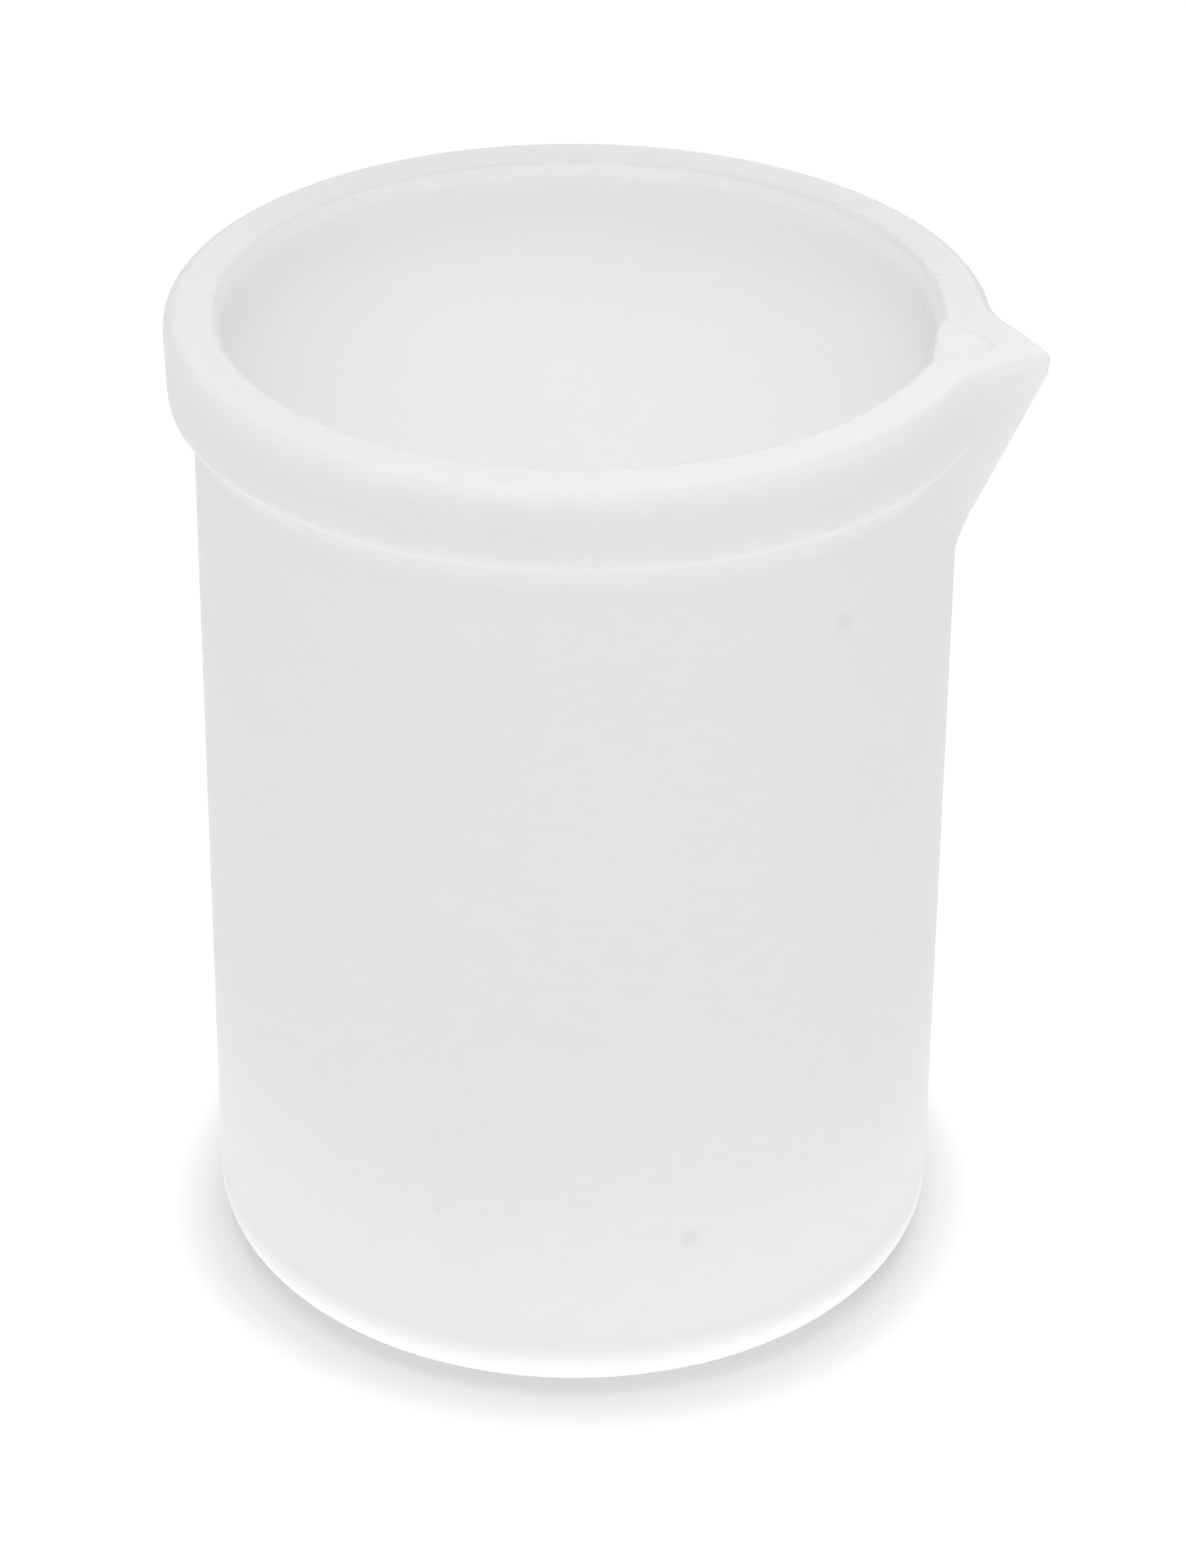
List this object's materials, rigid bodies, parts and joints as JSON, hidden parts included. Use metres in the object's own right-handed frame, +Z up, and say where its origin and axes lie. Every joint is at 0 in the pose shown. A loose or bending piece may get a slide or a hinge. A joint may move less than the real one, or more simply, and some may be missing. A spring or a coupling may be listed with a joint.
{
  "type": "beaker",
  "caption": "Low-form laboratory beaker of opaque white fluoropolymer with a thick collared rim, a pointed pouring spout and a rounded foot.",
  "frame": {"origin": "centre of the foot, on the vessel's axis, at the surface it stands on", "axes": "+Z up along the vessel's axis, +X towards the pouring spout"},
  "size_m": [0.0804, 0.075, 0.097],
  "materials": {
    "white_fluoropolymer": "opaque white, waxy satin, turned and milled"
  },
  "bodies": {
    "root": {"beaker": "white_fluoropolymer"}
  },
  "joints": []
}
